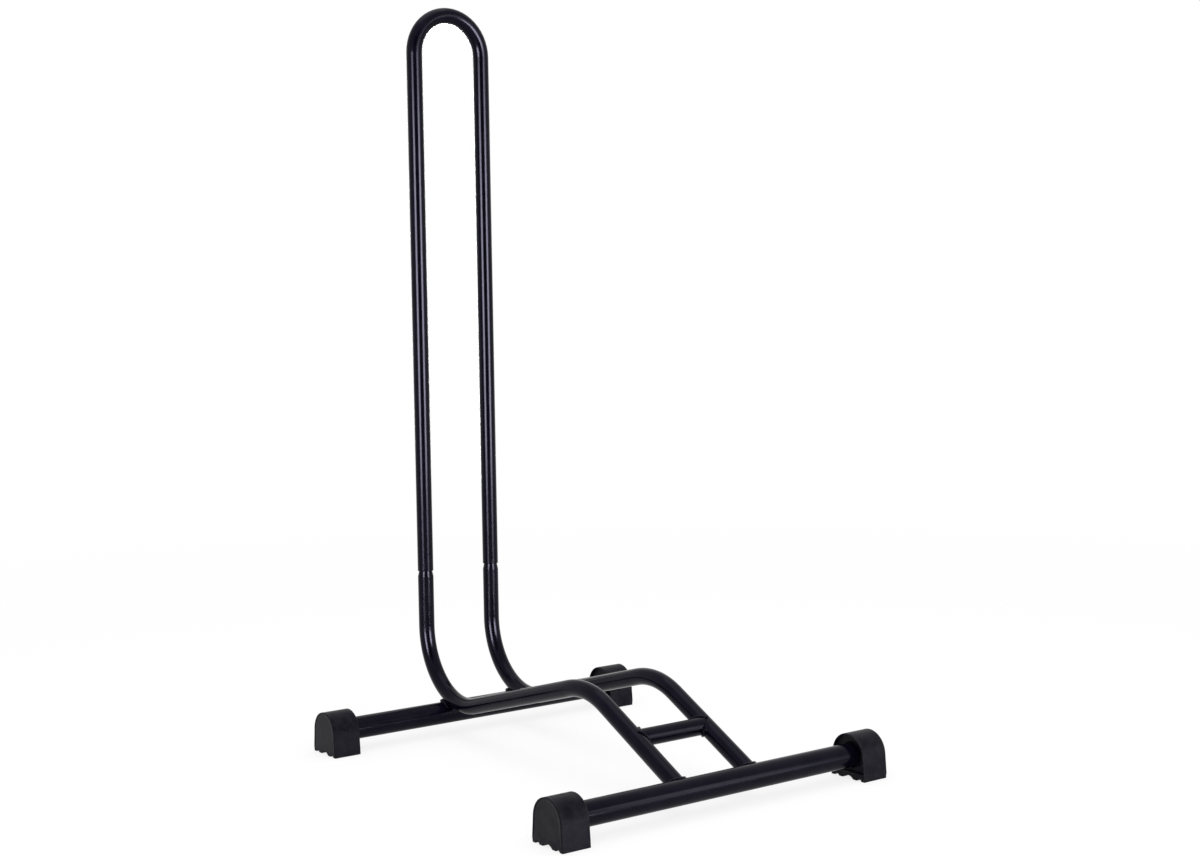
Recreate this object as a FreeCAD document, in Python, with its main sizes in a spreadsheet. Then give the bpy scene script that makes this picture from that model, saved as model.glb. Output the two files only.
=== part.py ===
import FreeCAD, Part
import math
import os
import Sketcher
from FreeCAD import Placement, Rotation, Vector

# Floor bike rack: a stand for one bicycle, made of bent and welded steel tube.
# Two cross tubes lie on the floor on rubber feet. Two bent side tubes join them and make the
# wheel slot, a spacer bar ties the side tubes together on the ramp, and a tall hoop plugs onto
# the swaged upper ends of the side tubes and holds the wheel upright.
#
# Frame: X across the rack, +Y from the ramp towards the hoop, +Z up, millimetres.
# The origin is on the floor, at the centre of the rack's outline seen from above.

doc = FreeCAD.newDocument("FloorBikeRack")

# ---------------------------------------------------------------------------------------------
# Driving sizes, in millimetres and degrees
# ---------------------------------------------------------------------------------------------
SIZES = [
    ("BaseWidth", 360.0, "overall width over the feet"),
    ("CrossTubeSpacing", 382.0, "distance between the axes of the two cross tubes"),
    ("RackHeight", 735.0, "floor to the top of the hoop"),
    ("WheelGap", 63.0, "clear slot for the tyre"),
    ("HoopSetback", 38.0, "hoop plane behind the axis of the rear cross tube"),
    ("JointHeight", 162.0, "floor to the open lower ends of the hoop"),
    ("CrossTubeDiameter", 22.0, "outside diameter of the cross tubes"),
    ("CrossTubeWall", 1.5, "wall of the cross tubes"),
    ("FrameTubeDiameter", 16.0, "outside diameter of hoop, side tubes and spacer"),
    ("FrameTubeWall", 1.2, "wall of hoop, side tubes and spacer"),
    ("RearBendRadius", 71.0, "centre line radius of the large bend of a side tube"),
    ("RiseAngle", 15.5, "slope of the straight run after the large bend"),
    ("HumpRadius", 78.0, "centre line radius of the bend at the top of the ramp"),
    ("RampAngle", 26.5, "slope of the ramp down to the front cross tube"),
    ("SpacerDistance", 73.5, "front cross tube axis to spacer axis, along the ramp"),
    ("SwageLength", 6.0, "length of the cone below the neck"),
    ("NeckLength", 45.0, "length of the neck that enters the hoop"),
    ("NeckChamfer", 1.0, "lead-in at the tip of the neck"),
    ("NeckClearance", 0.1, "radial play between neck and hoop bore"),
    ("AxisHeight", 21.2, "floor to the axes of the cross tubes"),
    ("FootLength", 28.5, "length of a foot along its tube"),
    ("FootEndWall", 4.0, "rubber beyond the end of the tube"),
    ("FootTopRadius", 20.0, "radius of the arched top of a foot"),
    ("FootBottomWidth", 43.0, "width of a foot on the floor"),
    ("FootBoreClearance", 0.1, "radial play between foot bore and tube"),
    ("FootEdgeRadius", 1.0, "rounding of the outer edges of a foot"),
    ("EdgeToothWidth", 4.2, "tread at each side of a foot's sole"),
    ("SideGrooveWidth", 5.8, "width of the small grooves in the sole"),
    ("SideGrooveDepth", 2.0, "depth of the small grooves in the sole"),
    ("MiddleGrooveWidth", 13.5, "width of the middle groove in the sole"),
    ("MiddleGrooveDepth", 3.0, "depth of the middle groove in the sole"),
    ("FitUpGap", 0.1, "gap between a coped tube end and the tube it meets"),
    ("WeldLeg", 3.0, "leg of the weld rings"),
    ("WeldRounding", 1.6, "rounding of the outer edge of the weld rings"),
    ("WeldFaceGap", 0.03, "hairline between a weld and the tubes"),
    ("BeadRadius", 3.2, "thickness radius of the beads on the rear cross tube"),
    ("BeadOffset", 1.6, "bead axis off the two surfaces that it joins"),
    ("BeadHalfLength", 8.5, "half length of the beads on the rear cross tube"),
]

sheet = doc.addObject("Spreadsheet::Sheet", "Sizes")
for row, (alias, value, note) in enumerate(SIZES, start=1):
    sheet.set(f"A{row}", alias)
    sheet.set(f"B{row}", str(value))
    sheet.setAlias(f"B{row}", alias)
    sheet.set(f"C{row}", note)
doc.recompute()

# Sizes that follow from the driving ones
CROSS_RADIUS = "Sizes.CrossTubeDiameter / 2"
FRAME_RADIUS = "Sizes.FrameTubeDiameter / 2"
FRAME_BORE_RADIUS = "(Sizes.FrameTubeDiameter / 2 - Sizes.FrameTubeWall)"
NECK_RADIUS = f"({FRAME_BORE_RADIUS} - Sizes.NeckClearance)"
NECK_BORE_RADIUS = f"({NECK_RADIUS} - Sizes.FrameTubeWall)"
LEG_OFFSET = "(Sizes.WheelGap + Sizes.FrameTubeDiameter) / 2"
REAR_TUBE_Y = (
    "(Sizes.CrossTubeSpacing + Sizes.FootBottomWidth / 2"
    " - Sizes.HoopSetback - Sizes.FrameTubeDiameter / 2) / 2"
)
FRONT_TUBE_Y = f"({REAR_TUBE_Y} - Sizes.CrossTubeSpacing)"
HOOP_Y = f"({REAR_TUBE_Y} + Sizes.HoopSetback)"
SHOULDER_Z = "(Sizes.JointHeight - Sizes.SwageLength)"
SHOULDER_RISE = f"({SHOULDER_Z} - Sizes.AxisHeight)"
# The large bend rests on the rear cross tube: the arc's centre lies this far from its axis.
RESTING_DISTANCE = f"(Sizes.RearBendRadius + {CROSS_RADIUS} + {FRAME_RADIUS})"
BEND_CENTRE_SETBACK = "(Sizes.RearBendRadius - Sizes.HoopSetback)"
BEND_CENTRE_RISE = f"sqrt({RESTING_DISTANCE} ^ 2 - {BEND_CENTRE_SETBACK} ^ 2)"
FOOT_BORE_RADIUS = f"({CROSS_RADIUS} + Sizes.FootBoreClearance)"
FOOT_BORE_DEPTH = "(Sizes.FootLength - Sizes.FootEndWall)"
SPACER_Y = f"({FRONT_TUBE_Y} + Sizes.SpacerDistance * cos(Sizes.RampAngle))"
SPACER_Z = "(Sizes.AxisHeight + Sizes.SpacerDistance * sin(Sizes.RampAngle))"


def size(expression):
    """The number that an expression on the driving sizes gives."""
    return float(sheet.evalExpression(expression))


# ---------------------------------------------------------------------------------------------
# Helpers
# ---------------------------------------------------------------------------------------------
TOLERANCE = 0.001
ORIGIN_POINT = (-1, 1)
H_AXIS = -1
V_AXIS = -2
START, END, CENTRE = 1, 2, 3
X_AXIS = Vector(1, 0, 0)
Y_AXIS = Vector(0, 1, 0)
Z_AXIS = Vector(0, 0, 1)

pieces = []


def new_body(label):
    """An empty body whose label names the piece."""
    body = doc.addObject("PartDesign::Body", label)
    body.Label = label
    return body


def new_sketch(body, name, role):
    """A sketch on one of the body's own origin planes."""
    sketch = body.newObject("Sketcher::SketchObject", name)
    plane = [item for item in body.Origin.OriginFeatures if item.Role == role][0]
    sketch.AttachmentSupport = [(plane, "")]
    sketch.MapMode = "FlatFace"
    return sketch


def bind(sketch, constraint, name, expression):
    """Add a constraint whose value is an expression on the driving sizes."""
    index = sketch.addConstraint(constraint)
    sketch.renameConstraint(index, name)
    sketch.setExpression(f"Constraints.{name}", expression)


def fix_point(sketch, geometry, end, name, x, y):
    """Hold a point at x, y in the sketch; "0" holds it on that axis."""
    if x == "0":
        sketch.addConstraint(Sketcher.Constraint("PointOnObject", geometry, end, V_AXIS))
    else:
        across = Sketcher.Constraint("DistanceX", *ORIGIN_POINT, geometry, end, size(x))
        bind(sketch, across, name + "X", x)
    if y == "0":
        sketch.addConstraint(Sketcher.Constraint("PointOnObject", geometry, end, H_AXIS))
    else:
        upward = Sketcher.Constraint("DistanceY", *ORIGIN_POINT, geometry, end, size(y))
        bind(sketch, upward, name + "Y", y)


def circle(sketch, name, radius, x="0", y="0"):
    """A circle of a bound radius round a bound centre."""
    centre = Vector(size(x), size(y), 0)
    geometry = sketch.addGeometry(Part.Circle(centre, Z_AXIS, size(radius)), False)
    fix_point(sketch, geometry, CENTRE, name + "Centre", x, y)
    bind(sketch, Sketcher.Constraint("Radius", geometry, size(radius)), name + "Radius", radius)


def outline(sketch, corners):
    """A closed outline of straight edges through bound corners."""
    points = [Vector(size(x), size(y), 0) for x, y in corners]
    count = len(points)
    for index, point in enumerate(points):
        following = points[(index + 1) % count]
        sketch.addGeometry(Part.LineSegment(point, following), False)
    for index, (x, y) in enumerate(corners):
        previous = (index - 1) % count
        sketch.addConstraint(Sketcher.Constraint("Coincident", previous, END, index, START))
        fix_point(sketch, index, START, f"Corner{index}", x, y)


def pad(body, name, sketch, length, symmetric=False):
    """Extrude a sketch, forwards or to both sides."""
    feature = body.newObject("PartDesign::Pad", name)
    feature.Profile = sketch
    feature.setExpression("Length", length)
    if symmetric:
        feature.SideType = "Symmetric"
    return feature


def pocket(body, name, sketch, length, symmetric=False, reverse=False):
    """Cut a sketch out of the body."""
    feature = body.newObject("PartDesign::Pocket", name)
    feature.Profile = sketch
    feature.setExpression("Length", length)
    if symmetric:
        feature.SideType = "Symmetric"
    feature.Reversed = reverse
    return feature


def place(item, x="0", y="0", z="0", axis=None, angle=None):
    """Put a piece at a bound position, turned about one axis by a bound angle."""
    turn = Rotation()
    if axis is not None:
        turn = Rotation(axis, size(angle))
    item.Placement = Placement(Vector(size(x), size(y), size(z)), turn)
    item.setExpression("Placement.Base.x", x)
    item.setExpression("Placement.Base.y", y)
    item.setExpression("Placement.Base.z", z)
    if axis is not None:
        item.setExpression("Placement.Rotation.Angle", angle)


def require_cut(before, feature):
    """Stop if a cut took nothing away."""
    doc.recompute()
    if feature.Shape.Volume > before - TOLERANCE:
        raise RuntimeError(f"{feature.Label} removed nothing")


# ---------------------------------------------------------------------------------------------
# Cross tubes: straight tubes whose ends are inside the feet
# ---------------------------------------------------------------------------------------------
def cross_tube(label, y):
    body = new_body(label)
    ring = new_sketch(body, label + "_ring", "YZ_Plane")
    circle(ring, "Outside", CROSS_RADIUS)
    circle(ring, "Bore", f"{CROSS_RADIUS} - Sizes.CrossTubeWall")
    pad(body, label + "_tube", ring, "Sizes.BaseWidth - 2 * Sizes.FootEndWall", symmetric=True)
    place(body, "0", y, "Sizes.AxisHeight")
    pieces.append(body)


cross_tube("rear_cross_tube", REAR_TUBE_Y)
cross_tube("front_cross_tube", FRONT_TUBE_Y)


# ---------------------------------------------------------------------------------------------
# Wheel hoop: one tube bent into a tall narrow arch, its lower ends cut square
# ---------------------------------------------------------------------------------------------
def wheel_hoop():
    label = "wheel_hoop"
    leg = f"(Sizes.RackHeight - {FRAME_RADIUS} - {LEG_OFFSET} - Sizes.JointHeight)"
    half = size(LEG_OFFSET)
    top = size(leg)
    body = new_body(label)

    path = new_sketch(body, label + "_path", "XZ_Plane")
    path.addGeometry(Part.LineSegment(Vector(-half, 0, 0), Vector(-half, top, 0)), False)
    arch = Part.Circle(Vector(0, top, 0), Z_AXIS, half)
    path.addGeometry(Part.ArcOfCircle(arch, 0, math.pi), False)
    path.addGeometry(Part.LineSegment(Vector(half, top, 0), Vector(half, 0, 0)), False)
    path.addConstraint(Sketcher.Constraint("Tangent", 0, END, 1, END))
    path.addConstraint(Sketcher.Constraint("Tangent", 1, START, 2, START))
    fix_point(path, 0, START, "LeftEnd", f"-1 * {LEG_OFFSET}", "0")
    fix_point(path, 2, END, "RightEnd", LEG_OFFSET, "0")
    fix_point(path, 1, CENTRE, "ArchCentre", "0", leg)
    path.addConstraint(Sketcher.Constraint("Vertical", 0))

    ring = new_sketch(body, label + "_ring", "XY_Plane")
    circle(ring, "Outside", FRAME_RADIUS, f"-1 * {LEG_OFFSET}")
    circle(ring, "Bore", FRAME_BORE_RADIUS, f"-1 * {LEG_OFFSET}")
    doc.recompute()

    pipe = body.newObject("PartDesign::AdditivePipe", label + "_tube")
    pipe.Profile = ring
    pipe.Spine = (path, ["Edge1", "Edge2", "Edge3"])
    place(body, "0", HOOP_Y, "Sizes.JointHeight")
    pieces.append(body)


wheel_hoop()


# ---------------------------------------------------------------------------------------------
# Side tubes: from the swaged neck down, round the large bend, over the hump and down the ramp
# ---------------------------------------------------------------------------------------------
FRONT_AXIS_Y = "-1 * (Sizes.CrossTubeSpacing + Sizes.HoopSetback)"


def side_tube_path(body, label):
    """The centre line, with the shoulder under the swage at the origin of the sketch.

    Five edges run from the shoulder to the axis of the front cross tube: a stub, the large
    bend, the rise, the hump and the ramp. A construction line from the centre of the large
    bend to the axis of the rear cross tube keeps the bend resting on that tube.
    """
    bend = size("Sizes.RearBendRadius")
    hump = size("Sizes.HumpRadius")
    rise = math.radians(size("Sizes.RiseAngle"))
    ramp = math.radians(size("Sizes.RampAngle"))
    tubes_level = -size(SHOULDER_RISE)
    front = Vector(-size("Sizes.CrossTubeSpacing") - size("Sizes.HoopSetback"), tubes_level, 0)
    rest = Vector(-size("Sizes.HoopSetback"), tubes_level, 0)
    bend_centre = Vector(-bend, size(BEND_CENTRE_RISE) + tubes_level, 0)
    bend_top = bend_centre + Vector(bend, 0, 0)
    bend_end = bend_centre - Vector(math.sin(rise), math.cos(rise), 0) * bend

    # The rise and the ramp would meet at a corner, which the hump rounds off.
    rise_way = Vector(-math.cos(rise), math.sin(rise), 0)
    ramp_way = Vector(math.cos(ramp), math.sin(ramp), 0)
    span = bend_end - front
    turn = ramp_way.x * rise_way.y - ramp_way.y * rise_way.x
    corner = front + ramp_way * ((span.x * rise_way.y - span.y * rise_way.x) / turn)
    setback = hump * math.tan((rise + ramp) / 2)
    hump_start = corner - rise_way * setback
    hump_end = corner - ramp_way * setback
    hump_centre = hump_start - Vector(math.sin(rise), math.cos(rise), 0) * hump

    path = new_sketch(body, label + "_path", "YZ_Plane")
    path.addGeometry(Part.LineSegment(Vector(0, 0, 0), bend_top), False)
    bend_arc = Part.Circle(bend_centre, Z_AXIS, bend)
    path.addGeometry(Part.ArcOfCircle(bend_arc, -math.pi / 2 - rise, 0), False)
    path.addGeometry(Part.LineSegment(bend_end, hump_start), False)
    hump_arc = Part.Circle(hump_centre, Z_AXIS, hump)
    path.addGeometry(Part.ArcOfCircle(hump_arc, math.pi / 2 - rise, math.pi / 2 + ramp), False)
    path.addGeometry(Part.LineSegment(front, hump_end), False)
    path.addGeometry(Part.LineSegment(bend_centre, rest), True)

    path.addConstraint(Sketcher.Constraint("Coincident", 0, START, *ORIGIN_POINT))
    path.addConstraint(Sketcher.Constraint("Vertical", 0))
    path.addConstraint(Sketcher.Constraint("Tangent", 0, END, 1, END))
    path.addConstraint(Sketcher.Constraint("Tangent", 1, START, 2, START))
    path.addConstraint(Sketcher.Constraint("Tangent", 2, END, 3, START))
    path.addConstraint(Sketcher.Constraint("Tangent", 3, END, 4, END))
    bind(path, Sketcher.Constraint("Radius", 1, bend), "BendRadius", "Sizes.RearBendRadius")
    bind(path, Sketcher.Constraint("Radius", 3, hump), "HumpRadius", "Sizes.HumpRadius")
    bind(path, Sketcher.Constraint("Angle", 2, math.pi - rise), "Rise", "(180 - Sizes.RiseAngle) * 1 deg")
    bind(path, Sketcher.Constraint("Angle", 4, ramp), "Ramp", "Sizes.RampAngle * 1 deg")
    drop = f"-1 * {SHOULDER_RISE}"
    fix_point(path, 4, START, "Front", FRONT_AXIS_Y, drop)
    fix_point(path, 5, END, "Rest", "-1 * Sizes.HoopSetback", drop)
    path.addConstraint(Sketcher.Constraint("Coincident", 5, START, 1, CENTRE))
    resting = Sketcher.Constraint("Distance", 5, START, 5, END, size(RESTING_DISTANCE))
    bind(path, resting, "Resting", RESTING_DISTANCE)
    return path


def side_tube(label, sign):
    body = new_body(label)
    path = side_tube_path(body, label)
    ring = new_sketch(body, label + "_ring", "XY_Plane")
    circle(ring, "Outside", FRAME_RADIUS)
    circle(ring, "Bore", FRAME_BORE_RADIUS)
    doc.recompute()
    pipe = body.newObject("PartDesign::AdditivePipe", label + "_tube")
    pipe.Profile = ring
    pipe.Spine = (path, ["Edge1", "Edge2", "Edge3", "Edge4", "Edge5"])
    doc.recompute()
    full_volume = pipe.Shape.Volume

    # The lower end is coped to lie round the front cross tube.
    cope = new_sketch(body, label + "_cope", "YZ_Plane")
    circle(cope, "Cope", f"{CROSS_RADIUS} + Sizes.FitUpGap", FRONT_AXIS_Y, f"-1 * {SHOULDER_RISE}")
    coped = pocket(body, label + "_coped", cope, "2 * Sizes.FrameTubeDiameter", symmetric=True)
    require_cut(full_volume, coped)

    # The upper end is swaged: a short cone, then a neck that fits the hoop's bore.
    tip = "(Sizes.SwageLength + Sizes.NeckLength)"
    swage = new_sketch(body, label + "_swage", "YZ_Plane")
    outline(swage, [
        (FRAME_BORE_RADIUS, "0"),
        (FRAME_RADIUS, "0"),
        (NECK_RADIUS, "Sizes.SwageLength"),
        (NECK_RADIUS, f"{tip} - Sizes.NeckChamfer"),
        (f"{NECK_RADIUS} - Sizes.NeckChamfer / 2", tip),
        (NECK_BORE_RADIUS, tip),
        (NECK_BORE_RADIUS, "Sizes.SwageLength"),
    ])
    neck = body.newObject("PartDesign::Revolution", label + "_neck")
    neck.Profile = swage
    neck.ReferenceAxis = (swage, ["V_Axis"])
    neck.Angle = 360.0
    place(body, f"{sign} * {LEG_OFFSET}", HOOP_Y, SHOULDER_Z)
    pieces.append(body)


side_tube("left_side_tube", -1)
side_tube("right_side_tube", 1)


# ---------------------------------------------------------------------------------------------
# Spacer bar: a short tube between the ramps, coped at both ends
# ---------------------------------------------------------------------------------------------
def spacer_bar():
    label = "spacer_bar"
    body = new_body(label)
    ring = new_sketch(body, label + "_ring", "YZ_Plane")
    circle(ring, "Outside", FRAME_RADIUS)
    circle(ring, "Bore", FRAME_BORE_RADIUS)
    bar = pad(body, label + "_tube", ring, f"2 * {LEG_OFFSET}", symmetric=True)
    doc.recompute()
    full_volume = bar.Shape.Volume
    cope = new_sketch(body, label + "_cope", "XZ_Plane")
    circle(cope, "Left", f"{FRAME_RADIUS} + Sizes.FitUpGap", f"-1 * {LEG_OFFSET}")
    circle(cope, "Right", f"{FRAME_RADIUS} + Sizes.FitUpGap", LEG_OFFSET)
    coped = pocket(body, label + "_coped", cope, "2 * Sizes.FrameTubeDiameter", symmetric=True)
    require_cut(full_volume, coped)
    place(body, "0", SPACER_Y, SPACER_Z, X_AXIS, "Sizes.RampAngle")
    pieces.append(body)


spacer_bar()


# ---------------------------------------------------------------------------------------------
# Feet: arched rubber caps with a grooved sole, pushed over the ends of the cross tubes
# ---------------------------------------------------------------------------------------------
SOLE = "-1 * Sizes.AxisHeight"


def groove(sketch, name, middle, width, depth):
    """An arched groove in the sole, from its right edge to its left edge."""
    right = f"({middle} + {width} / 2)"
    left = f"({middle} - {width} / 2)"
    crown = Vector(size(middle), size(SOLE) + size(depth), 0)
    start = Vector(size(right), size(SOLE), 0)
    end = Vector(size(left), size(SOLE), 0)
    geometry = sketch.addGeometry(Part.Arc(start, crown, end), False)
    radius = f"(({width} / 2) ^ 2 + {depth} ^ 2) / (2 * {depth})"
    fix_point(sketch, geometry, START, name + "Right", right, SOLE)
    fix_point(sketch, geometry, END, name + "Left", left, SOLE)
    bind(sketch, Sketcher.Constraint("Radius", geometry, size(radius)), name + "Radius", radius)
    return geometry


def tread(sketch, first, second):
    """A flat tread of the sole between the ends of two other edges."""
    start = sketch.getPoint(*first)
    end = sketch.getPoint(*second)
    line = sketch.addGeometry(Part.LineSegment(start, end), False)
    sketch.addConstraint(Sketcher.Constraint("Coincident", line, START, *first))
    sketch.addConstraint(Sketcher.Constraint("Coincident", line, END, *second))


def foot_profile(body, label):
    """Arched top, slightly spread sides and four treads with three grooves between them."""
    sketch = new_sketch(body, label + "_profile", "YZ_Plane")
    radius = size("Sizes.FootTopRadius")
    half = size("Sizes.FootBottomWidth / 2")
    sole = size(SOLE)
    reach = math.hypot(half, sole)
    lean = math.atan2(sole, half) + math.acos(radius / reach)
    touch = Vector(math.cos(lean), math.sin(lean), 0) * radius
    arch = Part.Circle(Vector(), Z_AXIS, radius)
    sketch.addGeometry(Part.ArcOfCircle(arch, lean, math.pi - lean), False)
    sketch.addGeometry(Part.LineSegment(Vector(half, sole, 0), touch), False)
    sketch.addGeometry(Part.LineSegment(Vector(-half, sole, 0), Vector(-touch.x, touch.y, 0)), False)
    fix_point(sketch, 0, CENTRE, "Arch", "0", "0")
    top_radius = Sketcher.Constraint("Radius", 0, radius)
    bind(sketch, top_radius, "ArchRadius", "Sizes.FootTopRadius")
    sketch.addConstraint(Sketcher.Constraint("Tangent", 0, START, 1, END))
    sketch.addConstraint(Sketcher.Constraint("Tangent", 0, END, 2, END))
    fix_point(sketch, 1, START, "RightCorner", "Sizes.FootBottomWidth / 2", SOLE)
    fix_point(sketch, 2, START, "LeftCorner", "-1 * Sizes.FootBottomWidth / 2", SOLE)

    offset = "(Sizes.FootBottomWidth / 2 - Sizes.EdgeToothWidth - Sizes.SideGrooveWidth / 2)"
    grooves = [
        ("Right", offset, "Sizes.SideGrooveWidth", "Sizes.SideGrooveDepth"),
        ("Middle", "0", "Sizes.MiddleGrooveWidth", "Sizes.MiddleGrooveDepth"),
        ("Left", f"-1 * {offset}", "Sizes.SideGrooveWidth", "Sizes.SideGrooveDepth"),
    ]
    treads_from = (1, START)
    for name, middle, width, depth in grooves:
        arc = groove(sketch, name, middle, width, depth)
        tread(sketch, treads_from, (arc, START))
        treads_from = (arc, END)
    tread(sketch, treads_from, (2, START))
    return sketch


def rim_edges(shape):
    """Names of the edges of the arch and the sides at both end faces of a foot."""
    ends = (0.0, size("Sizes.FootLength"))
    half_height = size(SOLE) / 2
    bore = size(FOOT_BORE_RADIUS)
    names = []
    for index, edge in enumerate(shape.Edges, start=1):
        box = edge.BoundBox
        on_end = box.XLength < TOLERANCE and any(abs(box.XMin - end) < TOLERANCE for end in ends)
        round_bore = isinstance(edge.Curve, Part.Circle) and abs(edge.Curve.Radius - bore) < TOLERANCE
        if on_end and box.ZMax > half_height and not round_bore:
            names.append(f"Edge{index}")
    return names


def foot(label, x, y, outward):
    body = new_body(label)
    profile = foot_profile(body, label)
    block = pad(body, label + "_block", profile, "Sizes.FootLength")
    doc.recompute()
    full_volume = block.Shape.Volume
    bore = new_sketch(body, label + "_bore", "YZ_Plane")
    circle(bore, "Bore", FOOT_BORE_RADIUS)
    bored = pocket(body, label + "_bored", bore, FOOT_BORE_DEPTH, reverse=True)
    require_cut(full_volume, bored)
    rounded = body.newObject("PartDesign::Fillet", label + "_rounded")
    rounded.Base = (bored, rim_edges(bored.Shape))
    rounded.setExpression("Radius", "Sizes.FootEdgeRadius")
    place(body, x, y, "Sizes.AxisHeight", Z_AXIS, "0" if outward > 0 else "180")
    pieces.append(body)


for row_name, row_y in (("front", FRONT_TUBE_Y), ("rear", REAR_TUBE_Y)):
    for side_name, sign in (("left", -1), ("right", 1)):
        inner_face = f"{sign} * (Sizes.BaseWidth / 2 - Sizes.FootLength)"
        foot(f"{row_name}_{side_name}_foot", inner_face, row_y, sign)


# ---------------------------------------------------------------------------------------------
# Welds: rings round the two T-joints of each side, and beads in the notches where the large
# bends rest on the rear cross tube. Each is made on the left and mirrored to the right.
# ---------------------------------------------------------------------------------------------
Z_TO_X = Rotation(Y_AXIS, 90)
Z_TO_Y = Rotation(X_AXIS, -90)
X_TO_Y_AND_Z_TO_X = Rotation(Vector(1, 1, 1), 120)


def rod(label, radius, length, turn):
    """A cylinder through the origin, as long to both sides, its axis turned from Z."""
    item = doc.addObject("Part::Cylinder", label)
    item.setExpression("Radius", radius)
    item.setExpression("Height", length)
    half = size(length) / 2
    item.Placement = Placement(turn.multVec(Vector(0, 0, -half)), turn)
    return item


def saddle_edges(shape):
    """Numbers of the edges between the collar's side wall and its saddle-shaped top."""
    numbers = []
    for number, edge in enumerate(shape.Edges, start=1):
        faces = shape.ancestorsOfType(edge, Part.Face)
        kinds = sorted(type(face.Surface).__name__ for face in faces)
        if kinds == ["Cylinder", "SurfaceOfExtrusion"]:
            numbers.append(number)
    return numbers


def weld_ring(label, run_radius, run_turn, branch_turn, x, y, z):
    """The ring where a branch tube ends on the side of a run tube; their axes cross at x, y, z.

    The ring is an oval collar round the branch with a saddle-shaped top that follows the run
    tube, less both tubes. Across the run it is narrower, because the run tube falls away there.
    """
    leg = "Sizes.WeldLeg"
    gap = "Sizes.WeldFaceGap"
    length = f"4 * ({run_radius} + {leg})"
    oval = doc.addObject("Part::Ellipse", label + "_oval")
    oval.setExpression("MajorRadius", f"{FRAME_RADIUS} + {leg}")
    oval.setExpression("MinorRadius", f"{FRAME_RADIUS} + {leg} / 2")
    oval.Placement = Placement(Vector(), branch_turn)
    collar = doc.addObject("Part::Extrusion", label + "_collar")
    collar.Base = oval
    collar.DirMode = "Custom"
    collar.Dir = branch_turn.multVec(Z_AXIS)
    collar.setExpression("LengthFwd", length)
    collar.Solid = True
    skin = doc.addObject("Part::MultiCommon", label + "_skin")
    skin.Shapes = [collar, rod(label + "_cap", f"{run_radius} + {leg}", length, run_turn)]
    doc.recompute()
    rounded = doc.addObject("Part::Fillet", label + "_rounded")
    rounded.Base = skin
    radius = size("Sizes.WeldRounding")
    rounded.Edges = [(number, radius, radius) for number in saddle_edges(skin.Shape)]
    tubes = doc.addObject("Part::MultiFuse", label + "_tubes")
    tubes.Shapes = [
        rod(label + "_run", f"{run_radius} + {gap}", length, run_turn),
        rod(label + "_branch", f"{FRAME_RADIUS} + {gap}", f"4 * {length}", branch_turn),
    ]
    ring = doc.addObject("Part::Cut", label)
    ring.Base = rounded
    ring.Tool = tubes
    place(ring, x, y, z, X_AXIS, "Sizes.RampAngle")
    return ring


def saddle_bead(label, side):
    """A bead beside a large bend, in the notch between it and the rear cross tube.

    Here Z points from the axis of the cross tube to the centre of the bend.
    """
    gap = "Sizes.WeldFaceGap"
    across = f"{side} * 2 * sqrt({FRAME_RADIUS} * Sizes.BeadOffset)"
    bead = doc.addObject("Part::Ellipsoid", label + "_bead")
    bead.setExpression("Radius1", "Sizes.BeadRadius")
    bead.setExpression("Radius2", "Sizes.BeadRadius")
    bead.setExpression("Radius3", "Sizes.BeadHalfLength")
    place(bead, across, "0", f"{CROSS_RADIUS} + Sizes.BeadOffset")
    bend = doc.addObject("Part::Torus", label + "_bend")
    bend.setExpression("Radius1", "Sizes.RearBendRadius")
    bend.setExpression("Radius2", f"{FRAME_RADIUS} + {gap}")
    bend.Placement = Placement(Vector(), Z_TO_X)
    bend.setExpression("Placement.Base.z", RESTING_DISTANCE)
    tubes = doc.addObject("Part::MultiFuse", label + "_tubes")
    tubes.Shapes = [bend, rod(label + "_run", f"{CROSS_RADIUS} + {gap}", "Sizes.BaseWidth", Z_TO_X)]
    cut = doc.addObject("Part::Cut", label)
    cut.Base = bead
    cut.Tool = tubes
    lean = f"asin({BEND_CENTRE_SETBACK} / {RESTING_DISTANCE})"
    place(cut, f"-1 * {LEG_OFFSET}", REAR_TUBE_Y, "Sizes.AxisHeight", X_AXIS, lean)
    return cut


def both_sides(weld):
    """Keep a weld of the left side and its mirror image on the right."""
    doc.recompute()
    mirrored = doc.addObject("Part::Mirroring", weld.Label.replace("left", "right"))
    mirrored.Source = weld
    mirrored.Normal = X_AXIS
    pieces.extend([weld, mirrored])


left = f"-1 * {LEG_OFFSET}"
both_sides(weld_ring("front_left_weld", CROSS_RADIUS, Z_TO_X, Z_TO_Y, left, FRONT_TUBE_Y, "Sizes.AxisHeight"))
both_sides(weld_ring("spacer_left_weld", FRAME_RADIUS, Z_TO_Y, X_TO_Y_AND_Z_TO_X, left, SPACER_Y, SPACER_Z))
both_sides(saddle_bead("rear_left_outer_weld", -1))
both_sides(saddle_bead("rear_left_inner_weld", 1))

# ---------------------------------------------------------------------------------------------
# Checks and files
# ---------------------------------------------------------------------------------------------
doc.recompute()
for item in doc.Objects:
    if "Invalid" in item.State or "Error" in item.State:
        raise RuntimeError(f"{item.Label} failed: {item.State}")
for item in pieces:
    if item.Shape.isNull() or not item.Shape.isValid():
        raise RuntimeError(f"{item.Label} has no sound shape")

os.makedirs("parts", exist_ok=True)
for item in pieces:
    item.Shape.exportStep(os.path.join("parts", item.Label + ".step"))
    box = item.Shape.optimalBoundingBox(False)
    low = ", ".join(f"{value:.2f}" for value in (box.XMin, box.YMin, box.ZMin))
    high = ", ".join(f"{value:.2f}" for value in (box.XMax, box.YMax, box.ZMax))
    print(f"{item.Label}: {len(item.Shape.Solids)} solid, {item.Shape.Volume:.1f} mm3, ({low}) to ({high})")
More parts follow.
